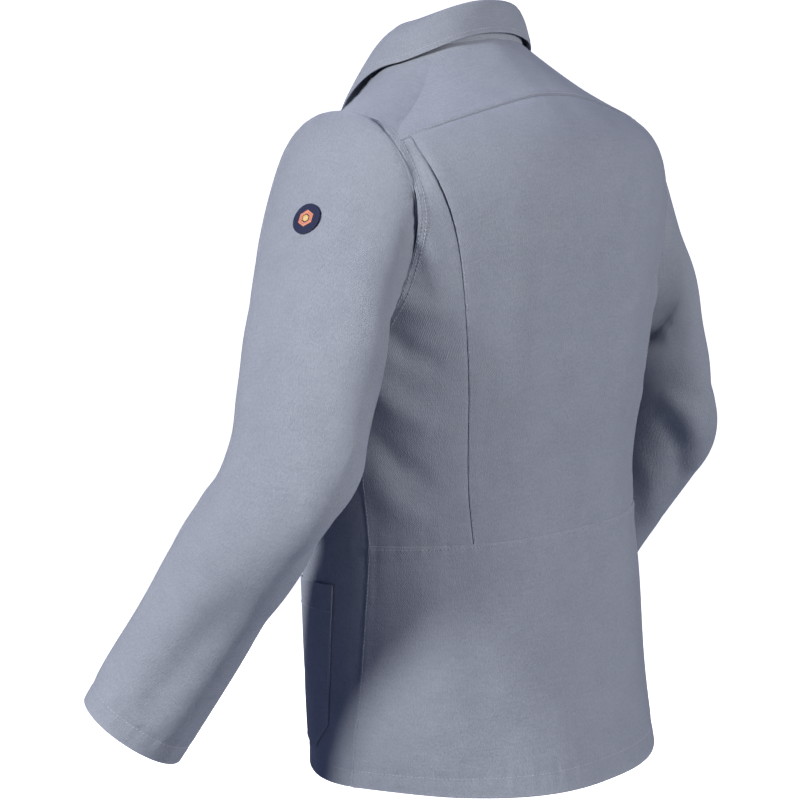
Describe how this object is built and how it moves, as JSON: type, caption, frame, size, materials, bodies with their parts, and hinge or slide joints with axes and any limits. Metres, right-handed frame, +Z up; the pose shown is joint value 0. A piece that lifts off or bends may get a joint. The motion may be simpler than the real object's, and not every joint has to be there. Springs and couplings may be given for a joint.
{
  "type": "welding jacket",
  "caption": "Welder's protective jacket in heavy cotton twill with action-pleat back, turned-down collar, snap front under a fly, chest and patch pockets and plain-hem sleeves.",
  "frame": {"origin": "centre of the neck base, level with the neck seam", "axes": "+X towards the wearer's left, +Z up, so the front opening faces -Y"},
  "size_m": [0.81, 0.3285, 0.7454],
  "materials": {
    "shell_twill": "matte diagonal cotton twill, light grey-blue",
    "lining_twill": "matte twill, inner face in shade",
    "hanger_tape": "narrow woven tape",
    "label_cloth": "plain woven satin label, blank",
    "snap_metal": "dull nickel",
    "badge_ground": "dense navy twill",
    "border_thread": "satin merrow-stitched edge",
    "emblem_thread": "satin embroidery thread"
  },
  "bodies": {
    "torso": {"back_yoke": "shell_twill", "back_centre_panel": "shell_twill", "back_side_panel_left": "shell_twill", "back_side_panel_right": "shell_twill", "pleat_underlay_left": "lining_twill", "pleat_underlay_right": "lining_twill", "back_skirt": "shell_twill", "collar_stand": "shell_twill", "collar_fall": "shell_twill", "neck_tape": "lining_twill", "neck_label": "label_cloth", "front_side_left": "shell_twill", "front_side_right": "shell_twill", "front_fold_left": "shell_twill", "front_fold_right": "shell_twill", "sleeve_head_left": "shell_twill", "sleeve_head_right": "shell_twill", "sleeve_bend_left": "shell_twill", "sleeve_bend_right": "shell_twill", "badge_disc": "badge_ground", "badge_border": "border_thread", "badge_emblem": "emblem_thread"},
    "loop": {"hanger_loop": "hanger_tape"},
    "front_left": {"front_panel_left": "shell_twill", "front_facing_left": "lining_twill", "fly_cover": "shell_twill", "fly_snap_sockets": "snap_metal", "chest_pocket_left": "shell_twill", "lower_pocket_left": "shell_twill", "collar_point_left": "shell_twill"},
    "front_right": {"front_panel_right": "shell_twill", "front_facing_right": "lining_twill", "fly_snap_studs": "snap_metal", "chest_pocket_right": "shell_twill", "lower_pocket_right": "shell_twill", "collar_point_right": "shell_twill"},
    "flap_left": {"chest_flap_left": "shell_twill", "flap_snap_caps_left": "snap_metal"},
    "flap_right": {"chest_flap_right": "shell_twill", "flap_snap_caps_right": "snap_metal"},
    "sleeve_left": {"upper_sleeve_left": "shell_twill", "elbow_left": "shell_twill"},
    "sleeve_right": {"upper_sleeve_right": "shell_twill", "elbow_right": "shell_twill"},
    "forearm_left": {"forearm_left": "shell_twill"},
    "forearm_right": {"forearm_right": "shell_twill"}
  },
  "joints": [
    {"name": "front_left_open", "type": "hinge", "parent": "torso", "child": "front_left", "pos_m": [0.1225, -0.091, -0.363], "axis": [-0.0798, 0.0551, 0.9953], "range_deg": [0, 45], "deforming": ["front_fold_left", "collar_point_left"]},
    {"name": "front_right_open", "type": "hinge", "parent": "torso", "child": "front_right", "pos_m": [-0.1225, -0.091, -0.363], "axis": [0.0798, 0.0551, 0.9953], "range_deg": [-22.5, 0], "deforming": ["front_fold_right", "collar_point_right"]},
    {"name": "sleeve_left_swing", "type": "hinge", "parent": "torso", "child": "sleeve_left", "pos_m": [0.275, 0.015, -0.29], "axis": [-1, 0, 0], "range_deg": [-20, 35], "deforming": ["sleeve_bend_left"]},
    {"name": "elbow_left_bend", "type": "hinge", "parent": "sleeve_left", "child": "forearm_left", "pos_m": [0.335, -0.015, -0.472], "axis": [-1, 0, 0], "range_deg": [-25, 60], "deforming": ["elbow_left"]},
    {"name": "sleeve_right_swing", "type": "hinge", "parent": "torso", "child": "sleeve_right", "pos_m": [-0.275, 0.015, -0.29], "axis": [-1, 0, 0], "range_deg": [-20, 35], "deforming": ["sleeve_bend_right"]},
    {"name": "elbow_right_bend", "type": "hinge", "parent": "sleeve_right", "child": "forearm_right", "pos_m": [-0.335, -0.015, -0.472], "axis": [-1, 0, 0], "range_deg": [-25, 60], "deforming": ["elbow_right"]},
    {"name": "chest_flap_left_lift", "type": "hinge", "parent": "front_left", "child": "flap_left", "pos_m": [0.0854, -0.113, -0.1586], "axis": [-0.9853, -0.155, -0.0714], "range_deg": [0, 110]},
    {"name": "chest_flap_right_lift", "type": "hinge", "parent": "front_right", "child": "flap_right", "pos_m": [-0.0854, -0.113, -0.1586], "axis": [-0.9853, 0.155, 0.0714], "range_deg": [0, 110]},
    {"name": "hanger_loop_flip", "type": "hinge", "parent": "torso", "child": "loop", "pos_m": [0, 0.04, -0.004], "axis": [-1, 0, 0], "range_deg": [0, 150]}
  ],
  "couplings": [
    {"joint": "front_right_open", "follows": "front_left_open", "ratio": -0.5}
  ]
}
